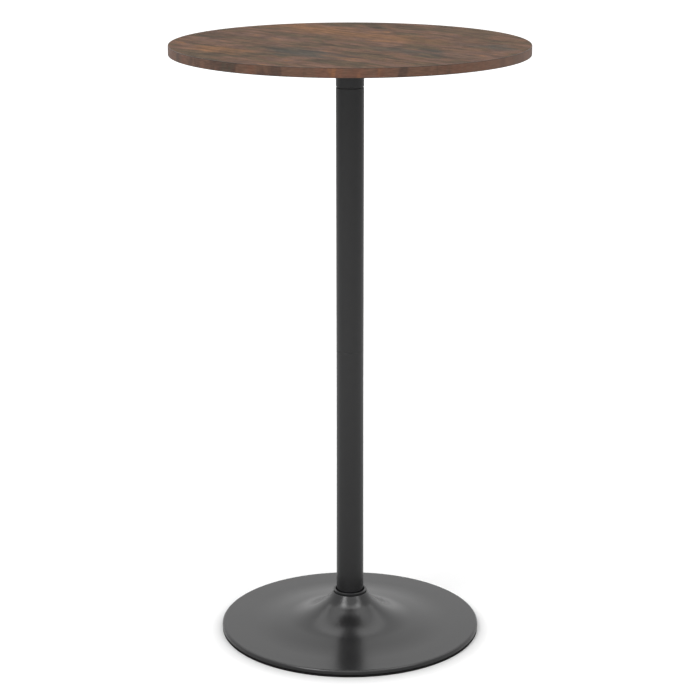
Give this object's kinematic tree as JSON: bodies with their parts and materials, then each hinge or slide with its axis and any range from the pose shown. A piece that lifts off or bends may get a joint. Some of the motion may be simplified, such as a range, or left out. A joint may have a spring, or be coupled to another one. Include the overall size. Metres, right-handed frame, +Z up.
{
  "type": "pub table",
  "caption": "Bar-height pub table: round wood-print top with edge band on a slim black steel column and a round weighted trumpet base.",
  "frame": {"origin": "centre of the floor ring on the floor, under the column", "axes": "+Z up along the column; X and Y along the sides of the square plate under the top"},
  "size_m": [0.61, 0.61, 1.05],
  "materials": {
    "wood_print_board": "matte laminate with a rustic brown wood print",
    "edge_band_plastic": "matte plastic band with the same wood print",
    "black_powder_coat": "satin black powder coat",
    "black_plastic": "satin moulded plastic",
    "black_nylon": "matte nylon",
    "black_rubber": "matte rubber",
    "zinc_plated_steel": "bright zinc plating",
    "bare_steel": "turned steel"
  },
  "bodies": {
    "root": {"tabletop_board": "wood_print_board", "edge_band": "edge_band_plastic", "insert_nuts": "zinc_plated_steel", "top_plate": "black_powder_coat", "top_screws": "zinc_plated_steel", "top_flat_washers": "zinc_plated_steel", "top_spring_washers": "zinc_plated_steel", "collar_tube": "black_powder_coat", "collar_weld": "black_powder_coat", "collar_plug": "bare_steel", "collar_spacer": "black_nylon", "upper_tube": "black_powder_coat", "upper_tube_top_plug": "bare_steel", "upper_tube_foot_plug": "bare_steel", "lower_tube": "black_powder_coat", "lower_tube_top_plug": "bare_steel", "lower_tube_foot_plug": "bare_steel", "collar_stud": "bare_steel", "middle_stud": "bare_steel", "base_shell": "black_powder_coat", "trim_ring": "black_plastic", "floor_ring": "black_rubber", "ballast_plate": "black_powder_coat", "support_cone": "black_powder_coat", "cone_screws": "zinc_plated_steel", "base_flat_washer": "zinc_plated_steel", "base_spring_washer": "zinc_plated_steel", "base_bolt": "zinc_plated_steel"}
  },
  "joints": []
}
